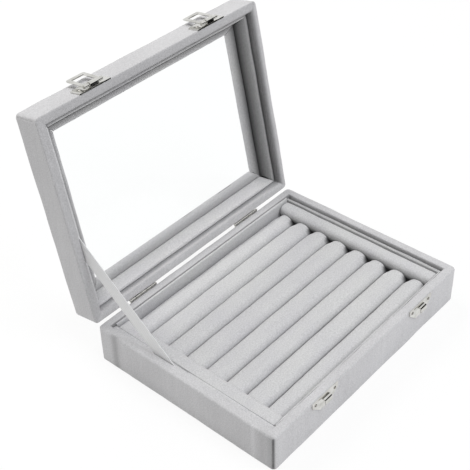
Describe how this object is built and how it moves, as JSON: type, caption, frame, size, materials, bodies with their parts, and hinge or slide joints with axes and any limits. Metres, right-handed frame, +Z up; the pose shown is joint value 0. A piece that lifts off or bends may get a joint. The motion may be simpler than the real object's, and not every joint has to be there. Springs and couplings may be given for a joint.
{
  "type": "jewelry storage box",
  "caption": "Velvet-covered ring box standing open: padded rolls in the tray, a clear window in the lid, folding metal hasps and a ribbon lid stay",
  "frame": {"origin": "middle of the underside of the base", "axes": "+Z up, +X along the hinge line to the right, -Y to the front, where the latches are"},
  "size_m": [0.2, 0.2044, 0.1807],
  "materials": {
    "velvet": "short pile velvet",
    "padded_velvet": "velvet over soft padding",
    "felt": "flat felt sheet",
    "ribbon": "ribbed ribbon",
    "board": "raw fibreboard",
    "nickel": "bright nickel plate",
    "clear_pane": "clear polished"
  },
  "bodies": {
    "base": {"base_bottom_board": "board", "base_velvet_wrap": "velvet", "base_front_board": "board", "base_back_board": "board", "base_left_board": "board", "base_right_board": "board", "base_bottom_felt": "felt", "base_floor_pad": "padded_velvet", "base_liner_right": "padded_velvet", "base_liner_left": "padded_velvet", "base_liner_back": "padded_velvet", "base_liner_front": "padded_velvet", "right_bolster": "padded_velvet", "left_bolster": "padded_velvet", "ring_roll_1": "padded_velvet", "ring_roll_2": "padded_velvet", "ring_roll_3": "padded_velvet", "ring_roll_4": "padded_velvet", "ring_roll_5": "padded_velvet", "ring_roll_6": "padded_velvet", "ring_roll_7": "padded_velvet", "ring_roll_8": "padded_velvet", "left_hinge_base_leaf": "nickel", "left_hinge_pin": "nickel", "right_hinge_base_leaf": "nickel", "right_hinge_pin": "nickel", "left_catch_plate": "nickel", "right_catch_plate": "nickel", "hinge_base_brads": "nickel", "catch_brads": "nickel", "lid_stay_ribbon": "ribbon"},
    "lid": {"lid_velvet_wrap": "velvet", "lid_front_board": "board", "lid_back_board": "board", "lid_left_board": "board", "lid_right_board": "board", "window_rail_front": "board", "window_rail_back": "board", "window_rail_left": "board", "window_rail_right": "board", "window_pane": "clear_pane", "lid_liner_right": "padded_velvet", "lid_liner_left": "padded_velvet", "lid_liner_back": "padded_velvet", "lid_liner_front": "padded_velvet", "window_strip_back": "padded_velvet", "window_strip_front": "padded_velvet", "window_strip_right": "padded_velvet", "window_strip_left": "padded_velvet", "left_hinge_lid_leaf": "nickel", "right_hinge_lid_leaf": "nickel", "left_hasp_plate": "nickel", "right_hasp_plate": "nickel", "left_hasp_pin": "nickel", "right_hasp_pin": "nickel", "hinge_lid_brads": "nickel", "hasp_brads": "nickel"},
    "hasp_left": {"left_hasp": "nickel"},
    "hasp_right": {"right_hasp": "nickel"}
  },
  "joints": [
    {"name": "lid_hinge", "type": "hinge", "parent": "base", "child": "lid", "pos_m": [0, 0.0756, 0.029], "axis": [1, 0, 0], "range_deg": [0, 101], "deforming": ["lid_stay_ribbon"]},
    {"name": "left_hasp_hinge", "type": "hinge", "parent": "lid", "child": "hasp_left", "pos_m": [-0.0516, 0.10699, 0.17897], "axis": [1, 0, 0], "range_deg": [0, 176.5]},
    {"name": "right_hasp_hinge", "type": "hinge", "parent": "lid", "child": "hasp_right", "pos_m": [0.0538, 0.10699, 0.17897], "axis": [1, 0, 0], "range_deg": [0, 176.5]}
  ]
}
